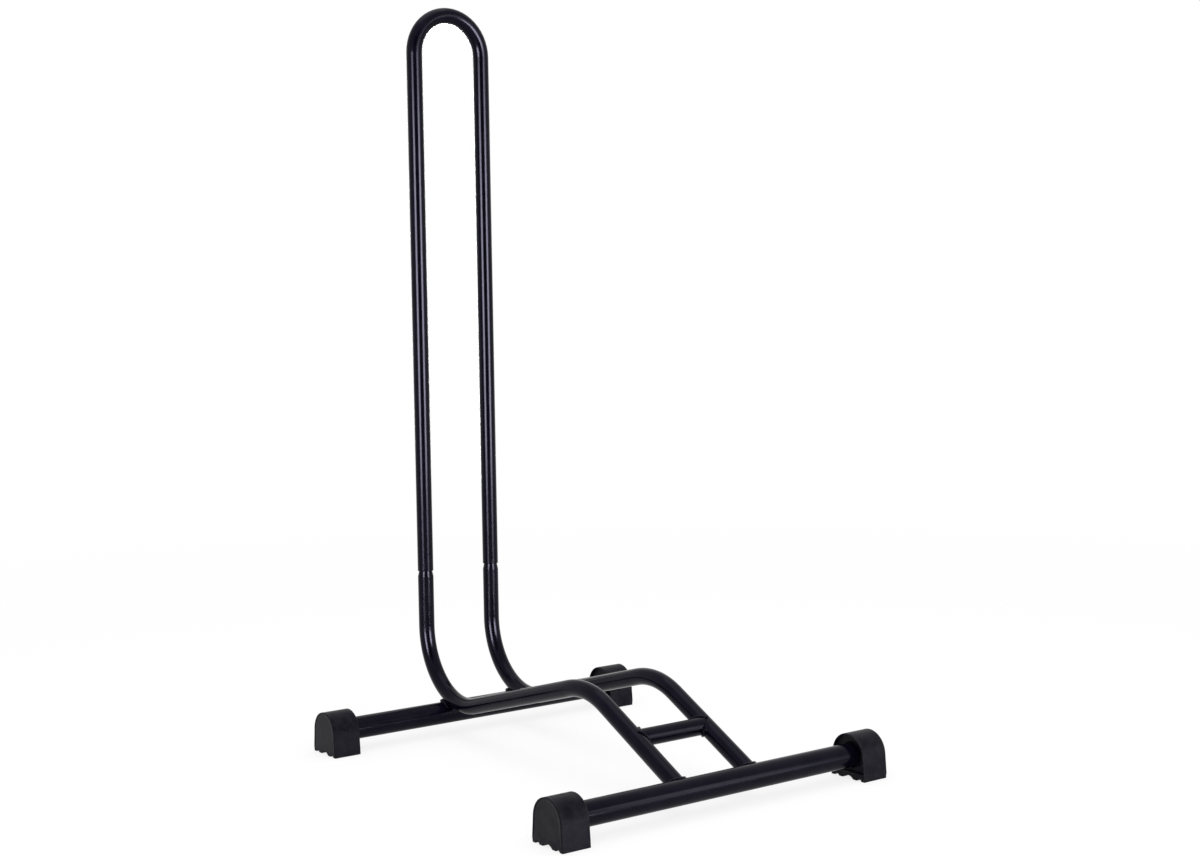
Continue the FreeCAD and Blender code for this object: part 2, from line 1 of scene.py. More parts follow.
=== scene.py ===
# %% [markdown]
# # A floor bike rack, from CAD tubes to a finished picture
#
# The rack is a black powder-coated tube frame on four rubber feet, with a tall hoop that plugs
# onto it. FreeCAD made every tube in real size. This lesson gives them their finish in Blender,
# and it models again what the CAD keeps simple: the weld beads and the moulded rubber feet.
#
# Everything is in metres: X goes across the rack, +Y from the ramp to the hoop, +Z up.

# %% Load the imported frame
import math

import bmesh
import bpy
import numpy as np
from mathutils import Matrix, Vector


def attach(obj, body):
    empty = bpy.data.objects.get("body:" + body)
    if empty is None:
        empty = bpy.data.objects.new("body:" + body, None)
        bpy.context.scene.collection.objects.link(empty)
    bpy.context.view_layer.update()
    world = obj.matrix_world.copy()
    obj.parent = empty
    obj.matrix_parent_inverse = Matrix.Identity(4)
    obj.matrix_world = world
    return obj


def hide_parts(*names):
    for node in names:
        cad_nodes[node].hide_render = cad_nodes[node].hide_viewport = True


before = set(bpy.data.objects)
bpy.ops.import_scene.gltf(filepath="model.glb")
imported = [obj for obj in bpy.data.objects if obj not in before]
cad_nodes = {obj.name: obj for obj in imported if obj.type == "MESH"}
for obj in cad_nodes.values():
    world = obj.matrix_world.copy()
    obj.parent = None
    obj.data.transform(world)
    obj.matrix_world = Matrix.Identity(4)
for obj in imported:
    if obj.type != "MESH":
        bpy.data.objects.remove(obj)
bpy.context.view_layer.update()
scene = bpy.context.scene
MM = 0.001


print("nodes:", ", ".join(sorted(cad_nodes)))

# %% [markdown]
# ## The camera
#
# The photograph shows the rack from its front left, a little above the floor. The camera could
# be placed by eye, but edges of tubes and corners of feet give enough known points to solve it,
# so its place, direction, roll and lens are numbers from that fit. Its three axes are built
# from them: one points back from the object, one to the right and one up.

# %% Camera
CAMERA_PLACE = Vector((-0.9811, -1.3824, 0.4434))
CAMERA_AZIMUTH, CAMERA_ELEVATION, CAMERA_ROLL = -36.1, 4.27, -0.85
SENSOR_WIDTH, LENS = 36, 54.36  # mm
NEAREST, FARTHEST = 0.05, 200


def direction(azimuth, elevation=0.0):
    """The unit vector at an azimuth from -Y towards +X and at an elevation, both in degrees.

    It is (sin a cos e, -cos a cos e, sin e).
    """
    a, e = math.radians(azimuth), math.radians(elevation)
    return Vector((math.sin(a) * math.cos(e), -math.cos(a) * math.cos(e), math.sin(e)))


def camera_axes(azimuth, elevation, roll):
    """Right, up and back of a camera, as columns, from angles in degrees.

    Back points at the azimuth and elevation. The level right and up are turned about it by
    the roll.
    """
    back = direction(azimuth, elevation)
    level_right = direction(azimuth + 90)
    level_up = back.cross(level_right)
    cos_roll, sin_roll = math.cos(math.radians(roll)), math.sin(math.radians(roll))
    right = level_right * cos_roll + level_up * sin_roll
    up = level_up * cos_roll - level_right * sin_roll
    return Matrix((right, up, back)).transposed()


camera_data = bpy.data.cameras.new("camera")
camera_data.sensor_width, camera_data.lens = SENSOR_WIDTH, LENS
camera_data.clip_start, camera_data.clip_end = NEAREST, FARTHEST
camera = bpy.data.objects.new("camera", camera_data)
scene.collection.objects.link(camera)
camera_turn = camera_axes(CAMERA_AZIMUTH, CAMERA_ELEVATION, CAMERA_ROLL).to_4x4()
camera.matrix_world = Matrix.Translation(CAMERA_PLACE) @ camera_turn
scene.camera = camera
scene.view_settings.view_transform = "Standard"
print("camera at", [round(value, 3) for value in CAMERA_PLACE], "with a lens of", LENS, "mm")

# %% [markdown]
# ## Shader maths that reads like maths
#
# A finish is a network of nodes, and wiring dozens of them by hand hides what they compute. One
# small class wraps a socket, so that `1 - mask * 0.5` adds the Math nodes by itself. Every
# node comes from one method, which sets the node's settings first and then its sockets.

# %% A socket that can be reckoned with
class Signal:
    """A value in a shader that varies over the surface."""

    def __init__(self, finish, socket):
        self.finish = finish
        self.socket = socket

    def maths(self, operation, *values):
        """A Math node with the values on its sockets, in their order."""
        return self.finish.node("Math", {"operation": operation}, dict(enumerate(values)))

    def __add__(self, other):
        return self.maths("ADD", self, other)

    def __sub__(self, other):
        return self.maths("SUBTRACT", self, other)

    def __rsub__(self, other):
        return self.maths("SUBTRACT", other, self)

    def __mul__(self, other):
        return self.maths("MULTIPLY", self, other)

    def __pow__(self, other):
        return self.maths("POWER", self, other)

    def __abs__(self):
        return self.maths("ABSOLUTE", self)

    __radd__ = __add__
    __rmul__ = __mul__

    def larger(self, other):
        return self.maths("MAXIMUM", self, other)

    def step(self, start, end):
        """0 up to start, 1 from end on, and a smooth S between them."""
        settings = {"interpolation_type": "SMOOTHSTEP"}
        sockets = {"Value": self, "From Min": start, "From Max": end}
        return self.finish.node("MapRange", settings, sockets)


# %% A finish while its nodes are being made
class Finish:
    """The node tree of a material, or of the world."""

    def __init__(self, owner):
        owner.use_nodes = True
        self.tree = owner.node_tree
        self.tree.nodes.clear()

    def node(self, kind, settings=None, sockets=None, output=0):
        """A node of a kind: its settings, then its sockets' values or links; gives one output."""
        made = self.tree.nodes.new("ShaderNode" + kind)
        for name, value in (settings or {}).items():
            setattr(made, name, value)
        for name, value in (sockets or {}).items():
            if isinstance(value, Signal):
                self.tree.links.new(value.socket, made.inputs[name])
            else:
                made.inputs[name].default_value = value
        return Signal(self, made.outputs[output]) if made.outputs else None

    def place(self):
        """Where a point of the surface is, in metres."""
        return self.node("TexCoord", output="Object")

    def part(self, vector, axis):
        """One coordinate of a vector."""
        return self.node("SeparateXYZ", sockets={0: vector}, output=axis)

    def stretched(self, vector, scale):
        """A vector with each coordinate multiplied."""
        return self.node("VectorMath", {"operation": "MULTIPLY"}, {0: vector, 1: scale})

    def noise(self, vector, scale, detail=2.0, roughness=0.5):
        """Cloudy values round 0.5, scale of them to the metre."""
        sockets = {"Vector": vector, "Scale": scale, "Detail": detail, "Roughness": roughness}
        return self.node("TexNoise", sockets=sockets)

    def blend(self, factor, first, second):
        """A colour from first, where factor is 0, to second, where it is 1."""
        return self.node("Mix", {"data_type": "RGBA"}, {0: factor, 6: first, 7: second}, 2)

    def bump(self, height, distance):
        """A surface normal disturbed by a height that counts in steps of the distance."""
        return self.node("Bump", sockets={"Height": height, "Distance": distance})

    def surface(self, shader, kind="OutputMaterial"):
        """Ends the tree: what the surface, or the world, shows."""
        self.node(kind, sockets={"Surface": shader})


def new_finish(name):
    """A new material, and the finish that makes its nodes."""
    material = bpy.data.materials.new(name)
    return material, Finish(material)


# %% [markdown]
# ## Black powder coat
#
# The tubes are sprayed with powder that melts to a smooth, thick, slightly blue black. Close up
# it isn't flat: the melt leaves a faint orange peel of waves a few millimetres long, the gloss
# varies a little, and dust under the coat leaves specks. Where the hoop slides on the necks the
# coat is rubbed through in upright scratches, and the tips of the necks are bare.
#
# An image texture could carry all that, but it would need a flat layout of every tube. Noise
# that is worked out from the place in space needs none, and it runs on across every joint.

# %% Specks in the coat
SPECK_SCALE, CHOICE_SCALE = 300, 130


def specks(finish, place):
    """1 in small round spots, else 0: the centres of cells, of which noise chooses some."""
    cells = {"Vector": place, "Scale": SPECK_SCALE}
    centre = 1 - finish.node("TexVoronoi", sockets=cells, output="Distance").step(0.05, 0.09)
    return centre * finish.noise(place, CHOICE_SCALE, detail=0.0).step(0.60, 0.66)


# %% Where the coat is rubbed through
LEG_OFFSET = 39.5 * MM
HOOP_Y = 216.75 * MM
JOINT_Z = 162 * MM
NECK_TIP_Z = 207 * MM
NECK_RADIUS = 6.7 * MM
RUB_FADE = (NECK_RADIUS + 0.25 * MM, NECK_RADIUS + 0.45 * MM)
STREAK_SCALE = 1500


def rubbed_through(finish, place):
    """1 in upright scratches near a neck's surface, from the joint to the neck's bare tip."""
    x, y, z = (finish.part(place, axis) for axis in "XYZ")
    across = (abs(x) - LEG_OFFSET) ** 2 + (y - HOOP_Y) ** 2
    fit = 1 - (across ** 0.5).step(*RUB_FADE)
    fit = fit * z.step(JOINT_Z, JOINT_Z + 2 * MM)
    fit = fit * (1 - z.step(NECK_TIP_Z + MM, NECK_TIP_Z + 2 * MM))
    streaks = finish.noise(finish.stretched(place, (1, 1, 0.03)), STREAK_SCALE, detail=3.0)
    tip = z.step(NECK_TIP_Z - 2.0 * MM, NECK_TIP_Z - 0.4 * MM)
    return fit * (streaks + 0.25 * tip).step(0.56, 0.66)


# %% Powder coat
COAT_BLACK = (0.0018, 0.0016, 0.0050, 1)
COAT_WORN = (0.0040, 0.0035, 0.0088, 1)
SPECK_GREY = (0.013, 0.012, 0.016, 1)
STEEL = (0.36, 0.35, 0.34, 1)
COAT_ROUGHNESS = 0.14
COAT_GLOSS_LEVEL = 0.085
GLOSS_TINT = (0.80, 0.77, 1.0, 1)
PEEL_HEIGHT = 0.003 * MM
PEEL_SCALE, FINE_PEEL_SCALE = 240, 700
CLOUD_SCALE, SMEAR_SCALE = 60, 75


def powder_coat():
    material, finish = new_finish("powder_coat")
    place = finish.place()

    # The orange peel: long soft waves with finer ones on them.
    peel = finish.noise(place, PEEL_SCALE, detail=1.0)
    peel = peel + 0.2 * finish.noise(place, FINE_PEEL_SCALE, detail=1.0)
    cloud = finish.noise(place, CLOUD_SCALE, detail=4.0, roughness=0.68)
    tall_place = finish.stretched(place, (1, 1, 0.25))
    smear = finish.noise(tall_place, SMEAR_SCALE, detail=4.0, roughness=0.65)
    speck = specks(finish, place)
    rubbed = rubbed_through(finish, place)

    colour = finish.blend(cloud.step(0.35, 0.7), COAT_BLACK, COAT_WORN)
    colour = finish.blend(0.6 * speck, colour, SPECK_GREY)
    colour = finish.blend(rubbed, colour, STEEL)
    uneven = 0.03 * cloud + 0.04 * smear.step(0.45, 0.75)
    relief = peel + 0.5 * speck - 0.6 * rubbed
    shader = finish.node("BsdfPrincipled", sockets={
        "Base Color": colour,
        "Metallic": rubbed,
        "Roughness": COAT_ROUGHNESS + uneven + 0.15 * rubbed,
        "Specular IOR Level": COAT_GLOSS_LEVEL,
        "Specular Tint": GLOSS_TINT,
        "Normal": finish.bump(relief, PEEL_HEIGHT),
    })
    finish.surface(shader)
    print("powder coat:", len(finish.tree.nodes), "nodes")
    return material


coat = powder_coat()
SIDE_TUBES = ("left_side_tube", "right_side_tube")
CROSS_TUBES = ("front_cross_tube", "rear_cross_tube")
for name in ("wheel_hoop", *SIDE_TUBES, "spacer_bar", *CROSS_TUBES):
    for material_slot in cad_nodes[name].material_slots:
        material_slot.material = coat

# %% [markdown]
# ## Moulded rubber
#
# The feet are satin black, less glossy and a little greyer than the tubes. Moulded rubber has a
# fine grain from the mould, a cloudy bloom where oils come to the surface, and pale scuffs where
# its edges touch the floor.
#
# The scuffs could be found in the shader from how sharply the surface bends, but that is rough
# on curved faces. The feet are worked out below anyway, so they carry an attribute that is 1 on
# their rounded edges and 0 on their faces, and the material reads it.

# %% Rubber
RUBBER_BLACK = (0.0022, 0.0019, 0.0048, 1)
RUBBER_BLOOM = (0.0105, 0.0102, 0.0125, 1)
SCUFF_GREY = (0.040, 0.039, 0.042, 1)
RUBBER_ROUGHNESS = 0.34
RUBBER_GLOSS_LEVEL = 0.085
GRAIN_HEIGHT = 0.10 * MM
GRAIN_SCALE, SCUFF_SCALE = 2600, 700
BLOOM_SCALE, BLOTCH_SCALE = 75, 300


def rubber():
    material, finish = new_finish("moulded_rubber")
    place = finish.place()
    grain = finish.noise(place, GRAIN_SCALE, detail=2.0)
    bloom = finish.noise(place, BLOOM_SCALE, detail=6.0, roughness=0.68)
    tall_place = finish.stretched(place, (1, 1, 0.35))
    blotch = finish.noise(tall_place, BLOTCH_SCALE, detail=4.0, roughness=0.6)
    edge = finish.node("Attribute", {"attribute_name": "edge"}, output="Fac")
    scuff = edge * finish.noise(place, SCUFF_SCALE, detail=4.0, roughness=0.7).step(0.42, 0.72)
    colour = finish.blend(bloom.step(0.38, 0.66), RUBBER_BLACK, RUBBER_BLOOM)
    colour = finish.blend(0.55 * blotch.step(0.45, 0.75), colour, RUBBER_BLOOM)
    colour = finish.blend(0.5 * scuff, colour, SCUFF_GREY)
    relief = 0.5 * grain + blotch + 0.7 * scuff
    shader = finish.node("BsdfPrincipled", sockets={
        "Base Color": colour,
        "Roughness": RUBBER_ROUGHNESS + 0.16 * bloom + 0.15 * scuff,
        "Specular IOR Level": RUBBER_GLOSS_LEVEL,
        "Specular Tint": GLOSS_TINT,
        "Normal": finish.bump(relief, GRAIN_HEIGHT),
    })
    finish.surface(shader)
    print("rubber:", len(finish.tree.nodes), "nodes")
    return material


foot_rubber = rubber()

# %% [markdown]
# ## From a grid of points to a closed piece
#
# The welds and the feet could be modelled from Blender's own tori and cubes, but then their
# ripples and treads would be dents made one by one. Here every new piece is a surface with two
# parameters, worked out as one array of points in rows and columns. The columns go round and
# close on themselves. The rows either close too, as on a ring, or end in two poles. The piece's
# volume is summed from its faces, because its sign tells whether they point outwards.

# %% Grid to mesh
MATERIAL_OF_SLOT = {"powder_coat": coat, "rubber": foot_rubber}
POLE_REACH = 1e-7


def signed_volume(points, faces):
    """A sixth of the sum of a . (b x c) over the two triangles of each face."""
    a, b, c, d = (points[faces[:, corner]] for corner in range(4))
    halves = (np.cross(b, c), np.cross(c, d))
    return float(sum(np.einsum("ij,ij->i", a, half).sum() for half in halves)) / 6


def grid_faces(rows, columns, rows_close):
    """Four corners per face: a point, the next in its column, and the same two one column on."""
    number = np.arange(rows * columns).reshape(rows, columns)
    these = number if rows_close else number[:-1]
    following = np.roll(number, -1, axis=0) if rows_close else number[1:]
    one_on = [np.roll(following, -1, axis=1), np.roll(these, -1, axis=1)]
    return np.stack([these, following, *one_on], axis=-1).reshape(-1, 4)


def weld_poles(mesh):
    """Merge the repeated points of both poles, and with them the faces that have no area."""
    work = bmesh.new()
    work.from_mesh(mesh)
    bmesh.ops.remove_doubles(work, verts=work.verts, dist=POLE_REACH)
    work.to_mesh(mesh)
    work.free()


def closed_piece(name, node, slot_name, grid, rows_close, edge=None):
    """A piece from a grid of points, riding on the base and standing for one CAD node.

    Where the rows don't close, the first and the last of them are single points repeated.
    """
    points = grid.reshape(-1, 3)
    faces = grid_faces(*grid.shape[:2], rows_close)
    if signed_volume(points, faces) < 0:
        faces = faces[:, ::-1]
    mesh = bpy.data.meshes.new(name)
    mesh.from_pydata(points.tolist(), [], faces.tolist())
    if edge is not None:
        attribute = mesh.attributes.new("edge", "FLOAT", "POINT")
        attribute.data.foreach_set("value", edge.ravel().astype(np.float32))
    mesh.polygons.foreach_set("use_smooth", np.ones(len(faces), bool))
    if not rows_close:
        weld_poles(mesh)
    mesh.validate()
    mesh.materials.append(MATERIAL_OF_SLOT[slot_name])
    piece = bpy.data.objects.new(name, mesh)
    scene.collection.objects.link(piece)
    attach(piece, "base")
    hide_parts(node)
    volume = abs(signed_volume(points, faces)) / MM ** 3
    print(f"{name}: {len(mesh.vertices)} points, {len(mesh.polygons)} faces, {volume:.0f} mm3")


# %% [markdown]
# ## Weld beads where a tube ends on another
#
# A welder goes round the joint and lays drop upon drop, so the bead is a roll whose ripples
# curve back along it like stacked coins. Under the powder they are soft, but they still break
# the light. A plain ring with bump would keep a smooth outline, so the ripples are modelled.

# %% Ring of weld round a T-joint
SIDES = (("left", -1), ("right", 1))
ACROSS = np.array([1.0, 0, 0])
RAMP_SLOPE = math.radians(26.5)
RAMP = np.array([0, math.cos(RAMP_SLOPE), math.sin(RAMP_SLOPE)])
FRONT_Y = -203.25 * MM
REAR_Y = 178.75 * MM
AXIS_Z = 21.2 * MM
CROSS_RADIUS = 11 * MM
TUBE_RADIUS = 8 * MM
SPACER_PLACE = np.array([0, -137.47, 54.0]) * MM

RING_POINTS, SECTION_POINTS = 240, 40
RING_THICK, RING_THIN = 2.35 * MM, 1.60 * MM
RING_LIFT = 0.25 * MM
RING_DROPS, DROP_HEIGHT, DROP_LAG = 19, 0.045, 1.1


def round_steps(count):
    """Even angles once round, without the last, which is the first again."""
    return np.linspace(0, 2 * np.pi, count, endpoint=False)


def ripple(phase):
    """A row of drops: steep where one starts and long where it runs out."""
    return np.sin(phase + 0.55 * np.sin(phase))


def weld_ring(node, centre, run, branch, run_radius, turn):
    """A rippled roll on the line where the branch's surface meets the run's surface.

    On that line the distance from the run's axis along the branch is
    sqrt(run radius^2 - (branch radius * sin(angle))^2). The roll's section is a circle in the
    plane of the branch's radius and the branch, thick on the run's back, where the line is
    highest, and thin at its sides.
    """
    side = np.cross(branch, run)
    angle = round_steps(RING_POINTS)[:, None]
    section = round_steps(SECTION_POINTS)[None, :]
    outward = np.cos(angle)[..., None] * run + np.sin(angle)[..., None] * side
    height = np.sqrt(run_radius ** 2 - (TUBE_RADIUS * np.sin(angle)) ** 2)

    at_sides = np.sin(angle) ** 2
    thickness = RING_THICK - (RING_THICK - RING_THIN) * at_sides
    wobble = 0.05 * np.sin(3 * angle + turn) + 0.04 * np.sin(7 * angle + 2 * turn)
    drops = ripple(RING_DROPS * angle + DROP_LAG * np.cos(section - 0.8) + turn)
    stronger = 1 + 0.5 * np.sin(5 * angle + turn)
    radius = thickness * (1 + wobble) * (1 + DROP_HEIGHT * stronger * drops)

    away = RING_LIFT * (1 - at_sides)
    from_axis = TUBE_RADIUS + away + radius * np.cos(section)
    along = height + away + radius * np.sin(section)
    grid = centre + from_axis[..., None] * outward + along[..., None] * branch
    closed_piece(f"{node}_bead", node, "powder_coat", grid, True)


for side_name, sign in SIDES:
    leg = sign * LEG_OFFSET * ACROSS
    ramp_foot = leg + np.array([0, FRONT_Y, AXIS_Z])
    spacer_end = leg + SPACER_PLACE
    inward = -sign * ACROSS
    weld_ring(f"front_{side_name}_weld", ramp_foot, ACROSS, RAMP, CROSS_RADIUS, 0.7 + sign)
    weld_ring(f"spacer_{side_name}_weld", spacer_end, RAMP, inward, TUBE_RADIUS, 2.1 + sign)

# %% [markdown]
# ## Weld beads in the notches under the large bends
#
# Each side tube's large bend lies on the rear cross tube, and a short bead on either side holds
# it. Such a bead is a blob that is thick at the middle and runs out at both ends, with the same
# ripples. It sits in the notch between the two round tubes and leans with it. A squashed sphere
# would nearly do, but it would stay straight, and this bead bends down over the cross tube.

# %% Beads on the rear cross tube
BEND_RADIUS = 71 * MM
HOOP_SETBACK = 38 * MM
NOTCH_LEAN = math.asin((BEND_RADIUS - HOOP_SETBACK) / (BEND_RADIUS + CROSS_RADIUS + TUBE_RADIUS))
BEAD_OFFSET = 1.3 * MM
BEAD_REACH = 7.6 * MM
BEAD_THICKNESS = 2.7 * MM
BEAD_SINK = 1.7 * MM
BEAD_WANDER = 0.25 * MM
BEAD_DROP_HEIGHT = 0.03
BEAD_ROWS, BEAD_COLUMNS = 90, 48


def notch_bead(node, leg_x, side):
    """A rippled spindle: its thickness is an ellipse's, sqrt(1 - (place / reach)^2).

    Its line runs beside the bend and sinks towards its ends, as the cross tube falls away.
    The row angle goes from one pole to the other, so that place is -reach * cos(angle) and
    the thickness goes with sin(angle).
    """
    pole = np.linspace(0, np.pi, BEAD_ROWS)[:, None]
    section = round_steps(BEAD_COLUMNS)[None, :]
    place = -BEAD_REACH * np.cos(pole)
    place_mm = place / MM
    drops = ripple(1.9 * place_mm + np.cos(section - 1.2) + 2 * side)
    radius = BEAD_THICKNESS * np.sin(pole) * (1 + BEAD_DROP_HEIGHT * drops * np.sin(pole))
    sink = BEAD_SINK * (place / BEAD_REACH) ** 2
    notch = 2 * math.sqrt(TUBE_RADIUS * BEAD_OFFSET)
    across = side * (notch + BEAD_WANDER * np.sin(0.55 * place_mm)) + radius * np.cos(section)
    along = place + 0 * section
    upward = CROSS_RADIUS + BEAD_OFFSET - sink + radius * np.sin(section)
    lean_cos, lean_sin = math.cos(NOTCH_LEAN), math.sin(NOTCH_LEAN)
    grid = np.stack([
        leg_x + across,
        REAR_Y + along * lean_cos - upward * lean_sin,
        AXIS_Z + along * lean_sin + upward * lean_cos,
    ], axis=-1)
    closed_piece(f"{node}_bead", node, "powder_coat", grid, False)


for side_name, sign in SIDES:
    for face_name, facing in (("outer", sign), ("inner", -sign)):
        notch_bead(f"rear_{side_name}_{face_name}_weld", sign * LEG_OFFSET, facing)

# %% [markdown]
# ## Rubber feet
#
# A foot is an arched block, pushed over the end of a cross tube, with four treads and three
# grooves under it. A mould can't hold a sharp edge and rubber wouldn't keep it, so all of its
# edges are soft: the tips of the treads, the corners at the floor and the rims of both ends.
# On the inner end, where the tube goes in, the face lies back behind a thin rim.
#
# The block could be bevelled, but a bevel works badly where grooves and roundings meet. Here the
# outline is walked in small even steps and each point is replaced by the mean of its
# neighbours, weighted by a bell curve. Straight and gently curved stretches stay as they are,
# and every corner gets the same soft radius. The foot is that outline carried along the tube.

# %% Outline of a foot, in millimetres
ARCH_RADIUS = 20.0
SOLE = -21.2
HALF_WIDTH = 21.5
GROOVES = ((-14.4, 5.8, 2.0), (0.0, 13.5, 3.0), (14.4, 5.8, 2.0))  # middle, width, depth
ARCH_POINTS, SOLE_POINTS = 1500, 4000
OUTLINE_STEP = 0.04
CORNER_SOFTNESS, NORMAL_SOFTNESS = 0.42, 1.5


def soft(points, width):
    """A closed line averaged along itself with a bell curve of that width.

    In its Fourier series, the wave with f turns to the millimetre keeps the share
    exp(-2 (pi f width)^2), which is the same average.
    """
    turns = np.fft.rfftfreq(len(points), OUTLINE_STEP)[:, None]
    bell = np.exp(-2 * (np.pi * turns * width) ** 2)
    return np.fft.irfft(np.fft.rfft(points, axis=0) * bell, len(points), axis=0)


def length_along(points):
    """A closed line with its first point again at the end, and the way covered at each point."""
    closed = np.vstack([points, points[:1]])
    steps = np.linalg.norm(np.diff(closed, axis=0), axis=1)
    return closed, np.concatenate([[0], np.cumsum(steps)])


def foot_outline():
    """Arch, leaning sides and grooved sole as one closed line, anticlockwise.

    The sides touch the arch where the line from a lower corner is square to its radius. A
    groove's height over the sole is that of a circle through both its edges and its crown.
    """
    reach = math.hypot(HALF_WIDTH, SOLE)
    lean = math.atan2(SOLE, HALF_WIDTH) + math.acos(ARCH_RADIUS / reach)
    turn = np.linspace(lean, math.pi - lean, ARCH_POINTS)
    arch = ARCH_RADIUS * np.stack([np.cos(turn), np.sin(turn)], axis=1)
    across = np.linspace(-HALF_WIDTH, HALF_WIDTH, SOLE_POINTS)
    height = np.full_like(across, SOLE)
    for middle, width, depth in GROOVES:
        radius = ((width / 2) ** 2 + depth ** 2) / (2 * depth)
        offset = across - middle
        crown = np.sqrt(np.maximum(radius ** 2 - offset ** 2, 0)) - (radius - depth)
        height = np.where(np.abs(offset) < width / 2, SOLE + crown, height)
    return np.vstack([arch, np.stack([across, height], axis=1)])


rough_line, way_covered = length_along(foot_outline())
perimeter = way_covered[-1]
even_way = np.linspace(0, perimeter, int(perimeter / OUTLINE_STEP), endpoint=False)
fine_line = np.stack([np.interp(even_way, way_covered, line) for line in rough_line.T], axis=1)
soft_line = soft(fine_line, CORNER_SOFTNESS)
gentle_line = soft(fine_line, NORMAL_SOFTNESS)
print(f"foot outline: {perimeter:.1f} mm round, {len(fine_line)} fine points")

# %% [markdown]
# The fine line has thousands of points, more than the foot needs. Most of them are dropped, but
# fewer on the sole, where the treads are. Each point also gets its normal, from a gentler copy
# of the line so that insetting it can't make it cross itself, and a number that tells how
# sharply the line bends there, for the scuffs.

# %% Points of the outline that the foot uses
TREAD_HEIGHT = 4.5
KEEP_ON_SOLE, KEEP_ELSEWHERE = 5, 20
FLAT_BEND, BEND_RANGE = 0.15, 0.6


def line_normals(points):
    """Unit normals to the right of the way along the line, which is outwards here."""
    way = np.roll(points, -1, axis=0) - np.roll(points, 1, axis=0)
    way /= np.linalg.norm(way, axis=1, keepdims=True)
    return np.stack([way[:, 1], -way[:, 0]], axis=1)


position = np.arange(len(soft_line))
keep_every = np.where(soft_line[:, 1] < SOLE + TREAD_HEIGHT, KEEP_ON_SOLE, KEEP_ELSEWHERE)
kept = position[position % keep_every == 0]
outline = soft_line[kept]
outward_normal = line_normals(gentle_line)[kept]
heading = np.unwrap(np.arctan2(*line_normals(soft_line).T[::-1]))
bend = np.abs(np.gradient(heading, OUTLINE_STEP))[kept]
corner = np.clip((bend - FLAT_BEND) / BEND_RANGE, 0, 1)
print(f"foot outline: {len(outline)} points kept, sharpest bend {1 / bend.max():.2f} mm")

# %% [markdown]
# A foot is then a stack of rings made from that outline, from the middle of the outer face, over
# its rounded edge, along the side, over the inner rim and down into the recess and the bore.
# Each ring says how far it is from the inner face and how much of an edge it is.

# %% Profile of a foot, in millimetres
FOOT_LENGTH = 28.5
FACE_CROWN = 0.12
EDGE_RADIUS = 1.0
EDGE_RINGS, SIDE_RINGS, SIDE_MARGIN = 7, 12, 2.2
FACE_RISE = 4.2
MOUTH_RIM, MOUTH_DEPTH, MOUTH_RISE, MOUTH_EDGE = 1.3, 4.4, 5.6, 0.3
BORE_RADIUS, BORE_DEPTH, BORE_EDGE = 11.1, 24.5, 0.5


def inset(ring, distance):
    return ring - distance * outward_normal


def filled_ring(rise):
    """The outline with its grooves filled, and its lower half pressed so that its sole rises."""
    treads = (np.abs(outline[:, 0]) < HALF_WIDTH - 0.6) & (outline[:, 1] < SOLE + TREAD_HEIGHT)
    level = np.where(treads, SOLE, outline[:, 1])
    lifted = np.where(level < 0, level * (1 + rise / SOLE), level)
    return np.stack([outline[:, 0], lifted], axis=1)


def foot_profile():
    """Rows of a ring's distance from the inner face, its points, and how much of an edge it is.

    Both edges are quarter circles: the distance goes with the cosine of an angle and the inset
    with its sine.
    """
    circle_turn = np.arctan2(outline[:, 1], outline[:, 0])
    bore = BORE_RADIUS * np.stack([np.cos(circle_turn), np.sin(circle_turn)], axis=1)
    block = filled_ring(FACE_RISE)
    mouth = inset(filled_ring(MOUTH_RISE), MOUTH_RIM)
    quarter = np.linspace(0, math.pi / 2, EDGE_RINGS)
    small, large = EDGE_RADIUS * (1 - np.cos(quarter)), EDGE_RADIUS * (1 - np.sin(quarter))

    face = [
        (FOOT_LENGTH - FACE_CROWN * share ** 2, share * block, 0.0)
        for share in (0, 0.3, 0.6, 0.85, 1)
    ]
    outer_edge = [
        (FOOT_LENGTH - back, inset(outline, inwards), 1.0)
        for back, inwards in zip(small, large)
    ]
    side = [
        (distance, outline, 0.0)
        for distance in np.linspace(FOOT_LENGTH - SIDE_MARGIN, SIDE_MARGIN, SIDE_RINGS)
    ]
    inner_edge = [(back, inset(outline, inwards), 1.0) for back, inwards in zip(large, small)]
    rim = [
        (0.0, 0.5 * (inset(outline, EDGE_RADIUS) + mouth), 0.2),
        (0.0, inset(mouth, -MOUTH_EDGE), 0.4),
        (0.3 * MOUTH_EDGE, inset(mouth, -0.3 * MOUTH_EDGE), 0.6),
        (MOUTH_EDGE, mouth, 0.4),
    ]
    recess = [
        (MOUTH_DEPTH - MOUTH_EDGE, mouth, 0.0),
        (MOUTH_DEPTH, inset(mouth, MOUTH_EDGE), 0.0),
        (MOUTH_DEPTH, 0.5 * (mouth + bore), 0.0),
        (MOUTH_DEPTH, 1.04 * bore, 0.0),
    ]
    hole = [
        (MOUTH_DEPTH + BORE_EDGE, bore, 0.0),
        (BORE_DEPTH, bore, 0.0),
        (BORE_DEPTH, 0 * bore, 0.0),
    ]
    return face + outer_edge + side + inner_edge + rim + recess + hole


profile = foot_profile()
print(f"foot: {len(profile)} rings of {len(outline)} points")

